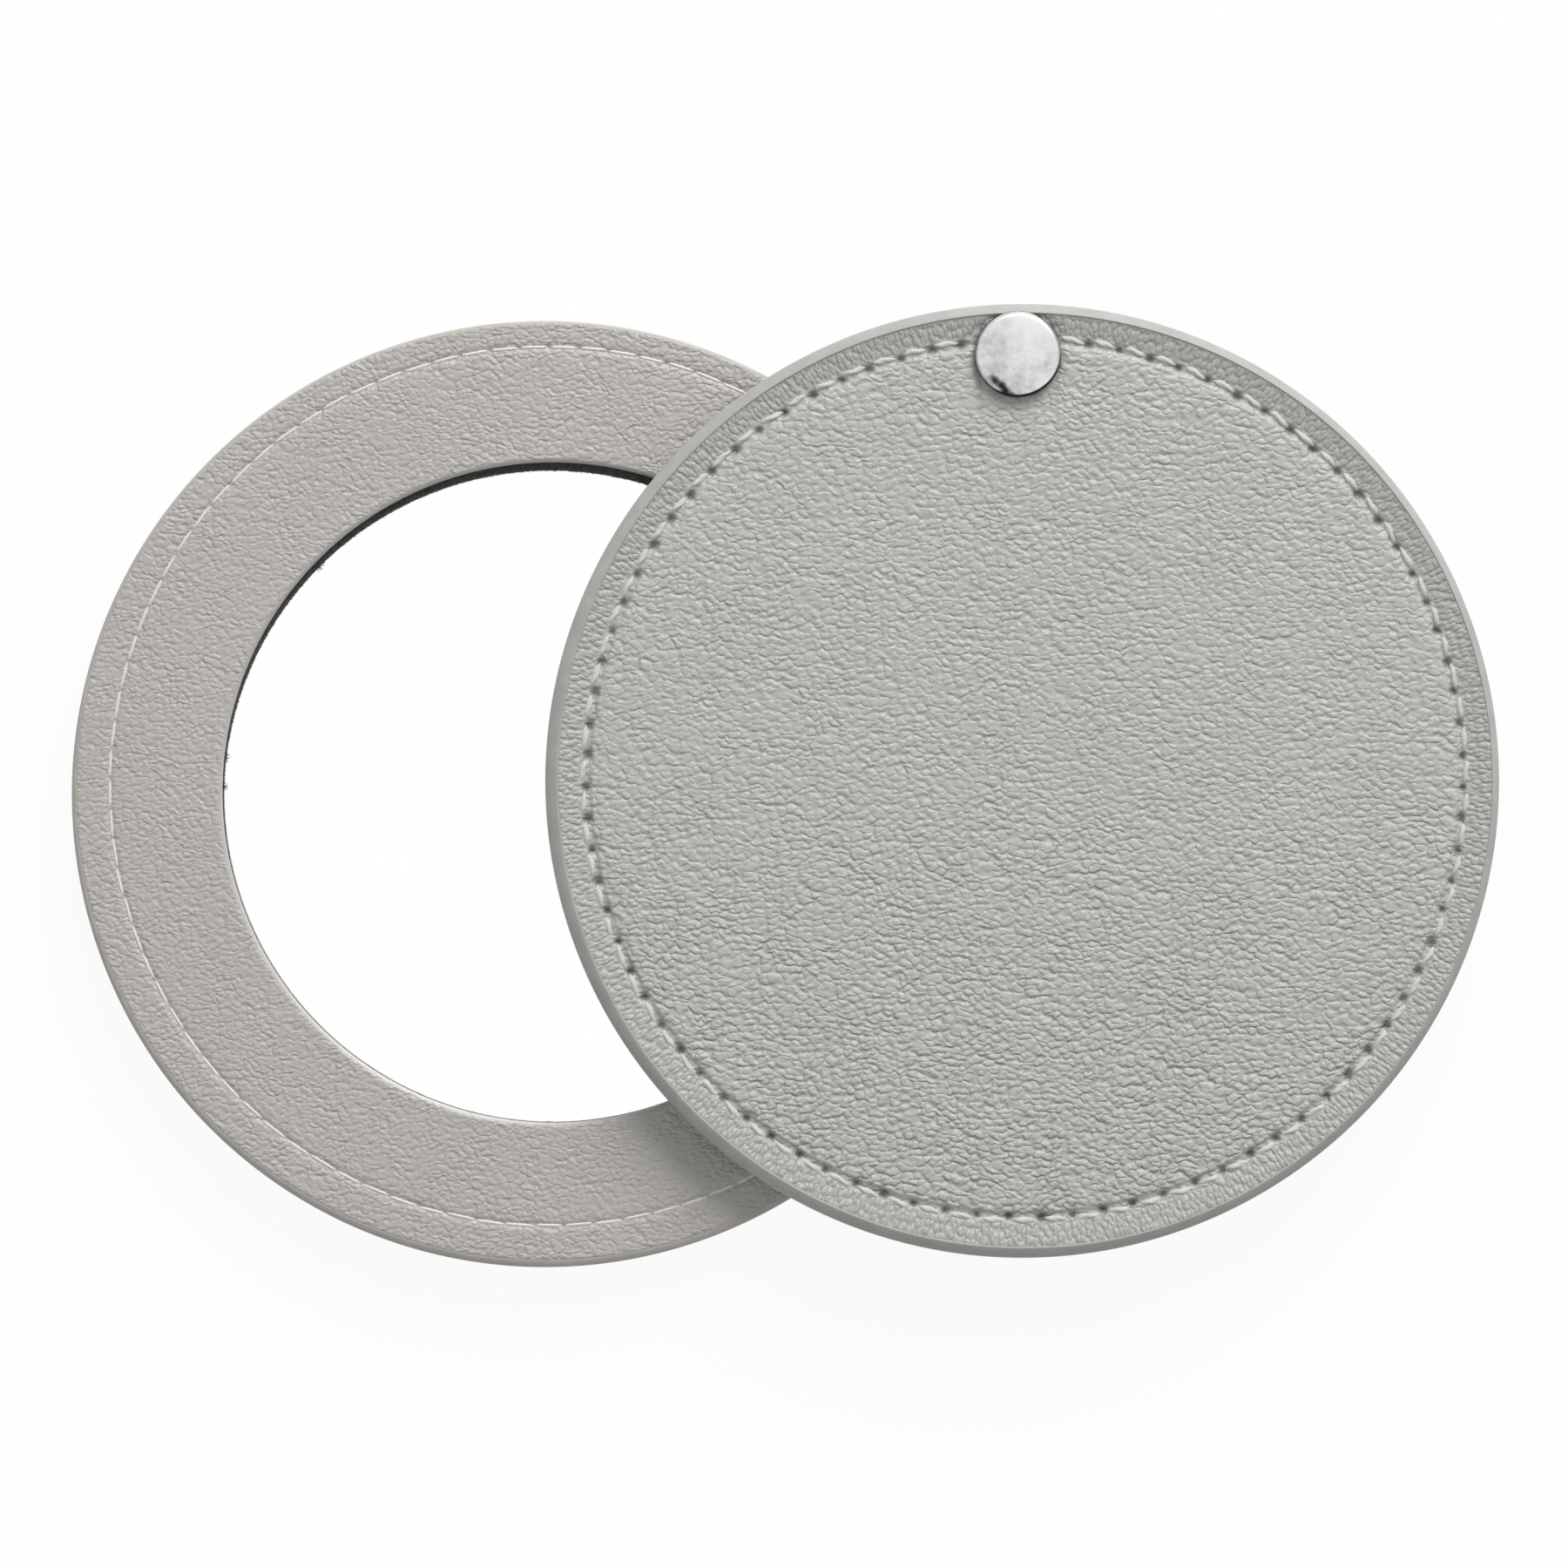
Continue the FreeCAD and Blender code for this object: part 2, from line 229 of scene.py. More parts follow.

# Painted reflections and shade on the cap: a dark patch and grey veils as places from its centre, widths and
# darkness; a dark line at the rim, wider towards the lower right
CAP_DARK_REFLECTION = [(-1.60, -2.30, 0.42, 0.9), (-1.25, -2.60, 0.42, 1.0), (-0.95, -2.95, 0.40, 1.1),
             (-0.45, -3.20, 0.35, 0.9), (-1.85, -2.00, 0.34, 0.7), (-2.10, -1.65, 0.30, 0.4),
             (-2.30, -2.10, 0.40, 0.5), (0.35, -2.85, 0.35, 0.3), (1.05, -2.60, 0.35, 0.25)]
CAP_GREY_REFLECTION = [(-2.2, 0.9, 1.2, 0.28), (-1.6, -1.2, 0.9, 0.34), (2.2, -0.8, 0.7, 0.26), (0.2, -2.4, 0.8, 0.34),
            (-0.9, 2.3, 0.6, 0.16), (0.5, -0.6, 0.4, 0.12), (2.3, 1.0, 0.5, 0.14), (-0.8, 0.4, 0.7, 0.14)]
RIM_LINE_WIDTH = 0.10
RIM_LINE_WIDER = 0.17
RIM_LINE_TURN = math.radians(60)
RIM_LINE_FADE = 0.12
RIM_LINE_DARK = 2.0
PLAIN_SIDE = 0.2
PLAIN_SIDE_DARK = 0.05
MOST_PAINTED_DARK = 2.0

# The packing's cut edge: distance outward from the cut, and share of its thickness
PACKING_EDGE = [(0.06, 0.0), (0.0, 0.3), (0.02, 0.8), (0.10, 1.0)]

# Loose fibres of the packing, and where longer tufts stand out, in degrees
FUZZ_FIBRES = 9000
FUZZ_SHORTEST = 0.03
FUZZ_LONGER = 0.13
TUFT_FIBRES = 16
TUFT_TURNS = np.radians([135, 173, 178, 236, 246, 256, 264, 270])
TUFT_SPREAD = 0.006
TUFT_LENGTHS = (0.15, 0.5)
FIBRE_HEIGHTS = (PACKING_BOTTOM + 0.04, RING_BOTTOM - 0.02)
FIBRE_LOWEST = PACKING_BOTTOM + 0.02
FIBRE_DROPS = (-0.3, 0.1)
FIBRE_WIDTHS = (0.010, 0.026)
FIBRE_ROOT = PACKING_RADIUS + 0.05
FIBRE_BEND = (0.6, 0.3)
FIBRE_TIP_LEAN = 0.8
FIBRE_TAPER = 0.8
FIBRE_SIDES = 3

# Where most of a noise lies, and its core
NOISE_BODY = (0.3, 0.7)
NOISE_CORE = (0.35, 0.65)

# Grain of the leatherette: pebbles and folds to the millimetre, and wanders as scale, reach and detail
PEBBLES = (1.65, 1.98)
PEBBLE_SOFTNESS = 0.25
PEBBLE_SCATTER = 0.9
PEBBLE_SLOPE = (0.15, 0.85)
FOLDS = (0.50, 0.62)
FOLD_REACH = 0.16
FOLD_SHARE = 0.35
WANDERS = [(0.18, 1.1, 1.0), (1.5, 0.5, 0.5), (3.0, 0.18, 1.0)]
UNEVEN_SCALE = 0.5
UNEVEN_DEPTH = (0.7, 1.1)
GRAIN_FOOT = (-30.0, 10.0)
TOOTH_SCALE = 5.0
TOOTH_SHARE = 0.12
RIM_PEBBLES = (2.9, 1.6, 1.0)
RIM_WANDER = (1.6, 0.3)
RIM_DEPTH = 1.25
RIM_SHARE = 0.85
RIM_TONE = 0.90
# Painted light and shade of the grain: tops a touch lighter, valleys a touch darker
TOP_LIGHT_TONE = 1.01
VALLEY_SHADE_TONE = 0.99
TONE_DEPTHS = (0.1, 1.0)
ROUGH_DEPTHS = (0.0, 0.9)
MOTTLE_SCALE = 0.14
MOTTLE_SHARE = 0.10
MOTTLE_TONE = 0.75
PIT_SHADE_TONE = 0.14
LEATHER_ROUGHNESS = (0.40, 0.46)

# The two leatherettes: colour, full rise of the grain, how it is stretched, and how much deeper at the foot
COVER_LEATHER = {"colour": (0.450, 0.445, 0.423), "rise": 0.102, "stretch": (0.96, 1.17), "deeper": 1.5}
RING_LEATHER = {"colour": (0.452, 0.435, 0.408), "rise": 0.073, "stretch": (1.22, 1.38), "deeper": 1.0}

# Finishes: scales of their noises, tones at a noise's low and high end, roughness, and rise of the bump
PAINT = {"cloud": 0.5, "tones": (0.94, 1.05), "roughness": (0.44, 0.54), "specular": 0.25,
         "ripple": 1.4, "rise": 0.02}
YARN = {"fibre": 9.0, "tones": (0.85, 1.06), "end_shade_tone": 0.5, "roughness": (0.55, 0.7), "sheen": 0.15,
        "rise": 0.015}
NICKEL = {"wander": (0.8, 1.0), "cloud": 0.9, "cloudy": (0.35, 0.68), "tones": (1.06, 0.76), "grey_reflection_tone": 0.3,
          "scratch": 2.0, "scratch_stretch": (6.0, 1.2, 2.0), "scratch_share": 0.3, "ragged": 2.2,
          "painted_darkening": (0.12, 1.5), "patch": 1.6, "patchy": (0.1, 1.7), "rough": (0.3, 0.75), "rise": 0.02}
PAINTED_DARK_COLOUR = (0.02, 0.02, 0.021, 1.0)
BRUSH = {"lines": 1.5, "stretch": (0.6, 9.0, 1.0), "tones": (0.85, 1.05), "roughness": (0.3, 0.45),
         "rise": 0.01}
BOARD = {"tones": (0.6, 1.3), "rough": (0.2, 0.8), "roughness": (0.8, 0.9), "specular": 0.2}
GLASS = {"haze": 0.15, "dim": (0.985, 0.99, 0.99, 1.0), "bright": (0.995, 1.0, 1.0, 1.0),
         "roughness": (0.0, 0.012)}

# Floor, light and camera, in metres; the sensor in millimetres, and the photograph's frame in pixels
FLOOR_SIZE = 4.0
FLOOR_GAP = 0.00005
FLOOR_GLOW = 0.93
FLOOR_GREY = (0.9, 0.9, 0.9, 1.0)
FLOOR_ROUGHNESS = 0.9
WHITE = (1.0, 1.0, 1.0, 1.0)
FILL = 0.445
KEY_TURN = math.radians(72)
KEY_RISE = math.radians(33)
KEY_DISTANCE = 1.0
KEY_SIZE = 0.6
KEY_POWER = 10.3
EYE = Vector((0.000118, 0.00028, 0.500))
AIM = Vector((EYE.x, EYE.y, 0.0))
SENSOR = 36.0
CLIP_START = 0.01
FOCAL_PIXELS = 7180
FRAME_PIXELS = 1800


class Graph:
    """The node graph of a material or of the world."""

    def __init__(self, owner):
        owner.use_nodes = True
        self.owner = owner
        self.nodes = owner.node_tree.nodes
        self.links = owner.node_tree.links

    def shader(self, name):
        """A socket of the material's shader."""
        return self.nodes["Principled BSDF"].inputs[name]

    def feed(self, socket, value):
        """Link a socket from another socket, or set its value."""
        if isinstance(value, bpy.types.NodeSocket):
            self.links.new(value, socket)
        else:
            socket.default_value = value

    def add(self, kind, inputs=None, **settings):
        """A node with its settings and inputs; inputs are keyed by name or number."""
        node = self.nodes.new(kind)
        for key, value in settings.items():
            setattr(node, key, value)
        for key, value in (inputs or {}).items():
            self.feed(node.inputs[key], value)
        return node

    def math(self, operation, first, second=0.0, clamp=False):
        """A number worked out from one or two others."""
        node = self.add("ShaderNodeMath", {0: first, 1: second}, operation=operation, use_clamp=clamp)
        return node.outputs[0]

    def vector(self, operation, first, second):
        """A vector worked out from two others."""
        return self.add("ShaderNodeVectorMath", {0: first, 1: second}, operation=operation).outputs[0]

    def split(self, vector):
        """The three numbers of a vector."""
        return self.add("ShaderNodeSeparateXYZ", {0: vector}).outputs

    def ramp(self, value, low, high, to_low=0.0, to_high=1.0):
        """A smooth step of a value from one range to another."""
        inputs = {"Value": value, "From Min": low, "From Max": high, "To Min": to_low, "To Max": to_high}
        return self.add("ShaderNodeMapRange", inputs, interpolation_type="SMOOTHSTEP").outputs[0]

    def mix(self, factor, first, second):
        """A colour between two."""
        return self.add("ShaderNodeMix", {0: factor, 6: first, 7: second}, data_type="RGBA").outputs[2]

    def between(self, factor, first, second):
        """A number between two."""
        return self.add("ShaderNodeMix", {0: factor, 2: first, 3: second}, data_type="FLOAT").outputs[0]

    def millimetres(self):
        """The place on the piece, in millimetres."""
        place = self.add("ShaderNodeTexCoord").outputs["Object"]
        return self.vector("MULTIPLY", place, (1 / MM,) * 3)

    def noise(self, place, scale, detail=2.0, roughness=0.5):
        """A noise texture's value."""
        inputs = {"Vector": place, "Scale": scale, "Detail": detail, "Roughness": roughness}
        return self.add("ShaderNodeTexNoise", inputs).outputs[0]

    def wander(self, place, scale, reach, detail=2.0):
        """The place moved about by noise."""
        inputs = {"Vector": place, "Scale": scale, "Detail": detail}
        colour = self.add("ShaderNodeTexNoise", inputs).outputs["Color"]
        offset = self.vector("SUBTRACT", colour, (0.5, 0.5, 0.5))
        return self.vector("ADD", place, self.vector("MULTIPLY", offset, (reach,) * 3))

    def attribute(self, name):
        """A number kept on the mesh."""
        return self.add("ShaderNodeAttribute", None, attribute_name=name).outputs["Fac"]

    def bump(self, height, rise, strength=1.0):
        """Feed the shader's normal from a height, with its full rise in millimetres."""
        inputs = {"Height": height, "Distance": rise * MM, "Strength": strength}
        self.feed(self.shader("Normal"), self.add("ShaderNodeBump", inputs).outputs[0])

    def sees_background(self):
        """1 for the rays that show the plain background, else 0."""
        rays = self.add("ShaderNodeLightPath").outputs
        seen = self.math("ADD", rays["Is Camera Ray"], rays["Is Glossy Ray"])
        return self.math("ADD", seen, rays["Is Transmission Ray"], clamp=True)


def new_graph(name):
    """The graph of a new material."""
    return Graph(bpy.data.materials.new(name))


def tint(colour, factor):
    """A colour made lighter or darker, with full alpha."""
    return tuple(channel * factor for channel in colour) + (1.0,)


def pebbles(graph, place, stretch):
    """Close-set domed pebbles, as a depth from 0 on a dome to 1 in the deepest valley."""
    inputs = {"Vector": graph.vector("MULTIPLY", place, stretch), "Scale": 1.0,
              "Smoothness": PEBBLE_SOFTNESS, "Randomness": PEBBLE_SCATTER}
    cells = graph.add("ShaderNodeTexVoronoi", inputs, voronoi_dimensions="2D", feature="SMOOTH_F1")
    return graph.ramp(cells.outputs["Distance"], *PEBBLE_SLOPE)


def folds(graph, place, stretch):
    """Wavy valleys of even width, as a depth from 0 on top to 1 in a valley."""
    inputs = {"Vector": graph.vector("MULTIPLY", place, stretch), "Scale": 1.0, "Detail": 0.0}
    waves = graph.add("ShaderNodeTexNoise", inputs, noise_dimensions="2D")
    away = graph.math("ABSOLUTE", graph.math("SUBTRACT", waves.outputs[0], 0.5))
    return graph.ramp(away, 0.0, FOLD_REACH, 1.0, 0.0)


def rim_place(graph, place, centre):
    """The place measured along and across a seam, so that wrinkles can run across it."""
    x, y, _ = graph.split(graph.vector("SUBTRACT", place, (*centre, 0.0)))
    squares = graph.math("ADD", graph.math("MULTIPLY", x, x), graph.math("MULTIPLY", y, y))
    along = graph.math("MULTIPLY", graph.math("ARCTAN2", y, x), COVER_SEAM_RADIUS)
    inputs = {0: along, 1: graph.math("SQRT", squares), 2: 0.0}
    return graph.add("ShaderNodeCombineXYZ", inputs).outputs[0]


def grain(graph, place, leather, centre):
    """Depth of the pressed grain: pebbles and creases, deeper towards the foot; wrinkles cross the rim."""
    bent = place
    for wander in WANDERS:
        bent = graph.wander(bent, *wander)
    across, upward = leather["stretch"]
    small = pebbles(graph, bent, (across * PEBBLES[0], upward * PEBBLES[1], 1.0))
    wide = folds(graph, bent, (across * FOLDS[0], upward * FOLDS[1], 1.0))
    uneven = graph.ramp(graph.noise(place, UNEVEN_SCALE), *NOISE_CORE, *UNEVEN_DEPTH)
    height = graph.split(place)[1]
    uneven = graph.math("MULTIPLY", uneven, graph.ramp(height, *GRAIN_FOOT, leather["deeper"], 1.0))
    depth = graph.math("ADD", small, graph.math("MULTIPLY", wide, FOLD_SHARE))
    depth = graph.math("MULTIPLY", depth, uneven)
    wrinkles = pebbles(graph, graph.wander(rim_place(graph, place, centre), *RIM_WANDER), RIM_PEBBLES)
    at_rim = graph.math("MULTIPLY", graph.attribute("rim"), RIM_SHARE)
    depth = graph.between(at_rim, depth, graph.math("MULTIPLY", wrinkles, RIM_DEPTH))
    return graph.math("MULTIPLY", depth, graph.math("SUBTRACT", 1.0, graph.attribute("calm")))


def leatherette(name, leather, centre):
    """Grained leatherette, mottled and darker at the rim, with painted shade in the grain's valleys and
    needle holes and round the cap.
    """
    graph = new_graph(name)
    colour = leather["colour"]
    place = graph.millimetres()
    depth = grain(graph, place, leather, centre)
    tooth = graph.math("MULTIPLY", graph.noise(place, TOOTH_SCALE), TOOTH_SHARE)
    # Painted light on the grain's tops and painted shade in its valleys
    shade = graph.mix(graph.ramp(depth, *TONE_DEPTHS), tint(colour, TOP_LIGHT_TONE), tint(colour, VALLEY_SHADE_TONE))
    mottle = graph.ramp(graph.noise(place, MOTTLE_SCALE, detail=4.0), *NOISE_CORE, 0.0, MOTTLE_SHARE)
    shade = graph.mix(mottle, shade, tint(colour, MOTTLE_TONE))
    shade = graph.mix(graph.attribute("rim"), shade, tint(colour, RIM_TONE))
    # Painted shade in the needle holes and round the cap
    shade = graph.mix(graph.attribute("pit_and_shade"), shade, tint(colour, PIT_SHADE_TONE))
    graph.feed(graph.shader("Base Color"), shade)
    graph.feed(graph.shader("Roughness"), graph.ramp(depth, *ROUGH_DEPTHS, *LEATHER_ROUGHNESS))
    graph.bump(graph.math("SUBTRACT", tooth, depth), leather["rise"])
    return graph.owner


def edge_paint(name, colour):
    """Smooth painted edge with a faint cloudiness."""
    graph = new_graph(name)
    place = graph.millimetres()
    cloud = graph.noise(place, PAINT["cloud"], detail=4.0)
    dark, light = (tint(colour, tone) for tone in PAINT["tones"])
    graph.feed(graph.shader("Base Color"), graph.mix(graph.ramp(cloud, *NOISE_BODY), dark, light))
    graph.feed(graph.shader("Roughness"), graph.ramp(cloud, *NOISE_BODY, *PAINT["roughness"]))
    graph.shader("Specular IOR Level").default_value = PAINT["specular"]
    graph.bump(graph.noise(place, PAINT["ripple"], detail=3.0), PAINT["rise"])
    return graph.owner


def thread_material(name, colour):
    """Twisted thread with a soft sheen, and painted shade where it dives into the needle holes."""
    graph = new_graph(name)
    fibre = graph.noise(graph.millimetres(), YARN["fibre"])
    dark, light = (tint(colour, tone) for tone in YARN["tones"])
    shade = graph.mix(graph.ramp(fibre, *NOISE_BODY), dark, light)
    # Painted shade at the thread's ends
    shade = graph.mix(graph.attribute("tone"), shade, tint(colour, YARN["end_shade_tone"]))
    graph.feed(graph.shader("Base Color"), shade)
    graph.feed(graph.shader("Roughness"), graph.ramp(fibre, *NOISE_BODY, *YARN["roughness"]))
    graph.shader("Sheen Weight").default_value = YARN["sheen"]
    graph.bump(fibre, YARN["rise"])
    return graph.owner


def nickel(name, colour, roughness, scuff):
    """Plated metal with cloudy scuffs, and painted reflections and shade, dark and grey, where the mesh says
    so.
    """
    graph = new_graph(name)
    place = graph.millimetres()
    cloud = graph.noise(graph.wander(place, *NICKEL["wander"]), NICKEL["cloud"], detail=6.0, roughness=0.68)
    scratched = graph.vector("MULTIPLY", place, NICKEL["scratch_stretch"])
    scratch = graph.noise(scratched, NICKEL["scratch"], detail=4.0)
    bright, dull = (tint(colour, tone) for tone in NICKEL["tones"])
    shade = graph.mix(graph.ramp(cloud, *NICKEL["cloudy"]), bright, dull)
    patch = graph.noise(place, NICKEL["patch"], detail=5.0, roughness=0.7)
    patch = graph.ramp(patch, *NOISE_BODY, *NICKEL["patchy"])
    # Painted reflection: grey veils on the cap's face
    grey_reflection = graph.math("MULTIPLY", graph.attribute("grey_reflection"), patch)
    shade = graph.mix(grey_reflection, shade, tint(colour, NICKEL["grey_reflection_tone"]))
    # Painted dark reflection and shade, with ragged edges
    ragged = graph.math("SUBTRACT", graph.noise(place, NICKEL["ragged"], detail=4.0), 0.5)
    painted_darkening = graph.ramp(graph.math("ADD", graph.attribute("painted_dark"), ragged), *NICKEL["painted_darkening"])
    graph.shader("Metallic").default_value = 1.0
    graph.feed(graph.shader("Base Color"), graph.mix(painted_darkening, shade, PAINTED_DARK_COLOUR))
    graph.feed(graph.shader("Roughness"), graph.ramp(cloud, *NICKEL["rough"], roughness, roughness + scuff))
    scratch = graph.math("MULTIPLY", scratch, NICKEL["scratch_share"])
    cloud = graph.math("MULTIPLY", cloud, 1 - NICKEL["scratch_share"])
    graph.bump(graph.math("ADD", cloud, scratch), NICKEL["rise"], strength=0.5)
    return graph.owner


def brushed(name, colour):
    """Brushed plated steel with short grinding lines."""
    graph = new_graph(name)
    place = graph.vector("MULTIPLY", graph.millimetres(), BRUSH["stretch"])
    lines = graph.noise(place, BRUSH["lines"], detail=4.0)
    dark, light = (tint(colour, tone) for tone in BRUSH["tones"])
    graph.shader("Metallic").default_value = 1.0
    graph.feed(graph.shader("Base Color"), graph.mix(lines, dark, light))
    graph.feed(graph.shader("Roughness"), graph.ramp(lines, *NOISE_BODY, *BRUSH["roughness"]))
    graph.bump(lines, BRUSH["rise"], strength=0.6)
    return graph.owner


def fibrous(name, colour, scale, rise):
    """Matte pressed fibre, board or felt."""
    graph = new_graph(name)
    tuft = graph.noise(graph.millimetres(), scale, detail=5.0, roughness=0.65)
    dark, light = (tint(colour, tone) for tone in BOARD["tones"])
    graph.feed(graph.shader("Base Color"), graph.mix(graph.ramp(tuft, *NOISE_BODY), dark, light))
    graph.feed(graph.shader("Roughness"), graph.ramp(tuft, *BOARD["rough"], *BOARD["roughness"]))
    graph.shader("Specular IOR Level").default_value = BOARD["specular"]
    graph.bump(tuft, rise)
    return graph.owner


def silvered_glass(name):
    """A clean mirror with the faintest haze."""
    graph = new_graph(name)
    haze = graph.noise(graph.millimetres(), GLASS["haze"], detail=3.0)
    graph.shader("Metallic").default_value = 1.0
    graph.feed(graph.shader("Base Color"), graph.mix(haze, GLASS["dim"], GLASS["bright"]))
    graph.feed(graph.shader("Roughness"), graph.ramp(haze, *NOISE_BODY, *GLASS["roughness"]))
    return graph.owner


# Materials by the record's slots
MATERIALS = {
    "cover_leatherette": leatherette("cover_leatherette", COVER_LEATHER, COVER_SEAM),
    "mirror_leatherette": leatherette("mirror_leatherette", RING_LEATHER, MIRROR_SEAM),
    "cover_edge_paint": edge_paint("cover_edge_paint", (0.40, 0.395, 0.375)),
    "mirror_edge_paint": edge_paint("mirror_edge_paint", (0.45, 0.43, 0.40)),
    "greyboard": fibrous("greyboard", (0.30, 0.29, 0.27), scale=4.0, rise=0.05),
    "cover_thread": thread_material("cover_thread", (0.60, 0.60, 0.58)),
    "mirror_thread": thread_material("mirror_thread", (0.76, 0.745, 0.71)),
    "nickel_cap": nickel("nickel_cap", (0.74, 0.74, 0.74), roughness=0.20, scuff=0.22),
    "nickel_rivet": nickel("nickel_rivet", (0.62, 0.61, 0.58), roughness=0.3, scuff=0.2),
    "link_steel": brushed("link_steel", (0.60, 0.60, 0.58)),
    "washer_fibre": fibrous("washer_fibre", (0.16, 0.14, 0.12), scale=5.0, rise=0.03),
    "dark_packing": fibrous("dark_packing", (0.080, 0.080, 0.081), scale=3.2, rise=0.2),
    "adhesive": fibrous("adhesive", (0.55, 0.54, 0.50), scale=2.0, rise=0.03),
    "silvered_glass": silvered_glass("silvered_glass"),
}


def dress_nodes():
    """Give every solid the material of its slot."""
    for sub in frame["record"]["subparts"]:
        materials = frame["nodes"][sub["node"]].data.materials
        materials.clear()
        materials.append(MATERIALS[sub["material_slot"]])


def grid_mesh(points, loop):
    """Quads over rings of points; a loop joins the last ring to the first, else both ends are capped."""
    rings, columns = points.shape[:2]
    index = np.arange(rings * columns).reshape(rings, columns)
    lower = index if loop else index[:-1]
    upper = np.roll(index, -1, axis=0) if loop else index[1:]
    quads = np.stack([lower, np.roll(lower, -1, axis=1), np.roll(upper, -1, axis=1), upper], axis=-1)
    faces = quads.reshape(-1, 4).tolist()
    vertices = points.reshape(-1, 3)
    if not loop:
        ends = [points[0].mean(axis=0), points[-1].mean(axis=0)]
        for ring, end in ((index[0], 0), (index[-1], 1)):
            hub = len(vertices) + end
            faces += [[hub, int(a), int(b)] for a, b in zip(ring, np.roll(ring, -1))]
        vertices = np.vstack([vertices, ends])
    return vertices, faces


def per_vertex(values, capped):
    """Numbers of the rings' points as one row each, with a 0 for the hub of each capped end."""
    hubs = [0, 0] if capped else []
    return {key: np.concatenate([numbers.reshape(-1), hubs]) for key, numbers in values.items()}


def make_piece(name, vertices, faces, body, slot, nodes=(), sharp=FIBRE_SHARP, values=None):
    """A closed smooth mesh that rides on a body; sharp is in degrees, values are extra numbers per vertex."""
    mesh = bpy.data.meshes.new(name)
    mesh.from_pydata((np.asarray(vertices) * MM).tolist(), [], faces)
    for key, numbers in (values or {}).items():
        layer = mesh.attributes.new(key, "FLOAT", "POINT")
        layer.data.foreach_set("value", np.asarray(numbers, dtype=np.float32))
    shape = bmesh.new()
    shape.from_mesh(mesh)
    bmesh.ops.recalc_face_normals(shape, faces=shape.faces)
    shape.to_mesh(mesh)
    shape.free()
    mesh.polygons.foreach_set("use_smooth", [True] * len(mesh.polygons))
    mesh.set_sharp_from_angle(angle=math.radians(sharp))
    mesh.materials.append(MATERIALS[slot])
    piece = bpy.data.objects.new(name, mesh)
    bpy.context.scene.collection.objects.link(piece)
    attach(piece, body)
    if nodes:
        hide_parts(*nodes)
    return piece


def turn(count):
    """Angles of a seam's columns, counted from 12 o'clock, so that needle holes fall on whole stitches."""
    return FULL_TURN * np.arange(count) / count + TWELVE_OCLOCK


def ring_points(centre, angles, radii, heights):
    """Points of rings of these radii and heights about a centre; both are rings by columns."""
    x = centre[0] + radii * np.cos(angles)
    y = centre[1] + radii * np.sin(angles)
    return np.stack([x, y, np.broadcast_to(heights, x.shape)], axis=-1)


def plan_distance(points, place):
    """Distance of each point from a place, seen from above."""
    return np.hypot(points[..., 0] - place[0], points[..., 1] - place[1])


def fade(distance, reach):
    """A smooth fall from 1 at no distance to 0 at the reach."""
    share = np.clip(1 - distance / reach, 0, 1)
    return share * share * (3 - 2 * share)


def distance_to(shift, radius, angles):
    """Distance from a disc's centre to a circle that lies a little off that centre."""
    along = shift[0] * np.cos(angles) + shift[1] * np.sin(angles)
    across = shift[1] * np.cos(angles) - shift[0] * np.sin(angles)
    return along + np.sqrt(radius ** 2 - across ** 2)


def cover_crease(angles):
    """Where the cover's face meets its painted edge."""
    return COVER_RADIUS - COVER_EDGE + COVER_CREASE_SHIFT * np.cos(angles - COVER_CREASE_TURN)


def mirror_crease(angles):
    """Where the mirror disc's face meets its painted edge."""
    return MIRROR_RADIUS - MIRROR_EDGE + MIRROR_CREASE_SHIFT * np.cos(angles - MIRROR_CREASE_TURN)


def needle_marks(points, centre, radius, stitches, chance, marks, cap_room=None):
    """How deep a seam pulls each point down, how much painted shade its needle holes get, and the way outward
    from it.
    """
    across = plan_distance(points, centre) - radius
    angle = np.arctan2(points[..., 1] - centre[1], points[..., 0] - centre[0]) - TWELVE_OCLOCK
    count = angle * stitches / FULL_TURN
    nearest = np.round(count).astype(int) % stitches
    pitch = FULL_TURN * radius / stitches
    stray = chance.uniform(-HOLE_STRAY, HOLE_STRAY, stitches)[nearest]
    along = (count - np.round(count) - stray) * pitch
    sway = across + chance.uniform(-HOLE_SWAY, HOLE_SWAY, stitches)[nearest]
    size = chance.uniform(*HOLE_SIZES, stitches)[nearest]
    hole = (along / (marks["length"] * size)) ** 2 + ((sway + marks["inward"]) / (marks["width"] * size)) ** 2
    # The pit's shape, which both sinks the hole and sets its painted shade
    pit_and_shade = np.exp(-hole ** HOLE_SHARPNESS)
    pull = np.exp(-(along / PULL_LENGTH) ** 2 - ((sway + marks["pull_inward"]) / PULL_WIDTH) ** 2)
    pucker = np.exp(-(along / PUCKER_LENGTH) ** 2 - ((sway - PUCKER_OUTWARD) / PUCKER_WIDTH) ** 2)
    clear = 1.0
    if cap_room:
        clear = np.clip((plan_distance(points, RIVET) - cap_room) / HOLE_ROOM_FADE, 0, 1)
    rise = np.clip(1 - across / marks["outer"], 0, 1)
    inner = fade(-across - marks["floor"], marks["inner"])
    groove = np.where(across > 0, marks["shelf"] + marks["groove"] * rise,
                      (marks["shelf"] + marks["groove"]) * inner)
    sink = clear * (marks["depth"] * pit_and_shade + marks["pull"] * pull - marks["pucker"] * pucker * size)
    return sink + groove, np.clip(pit_and_shade * clear * marks["dark"], 0, 1), across


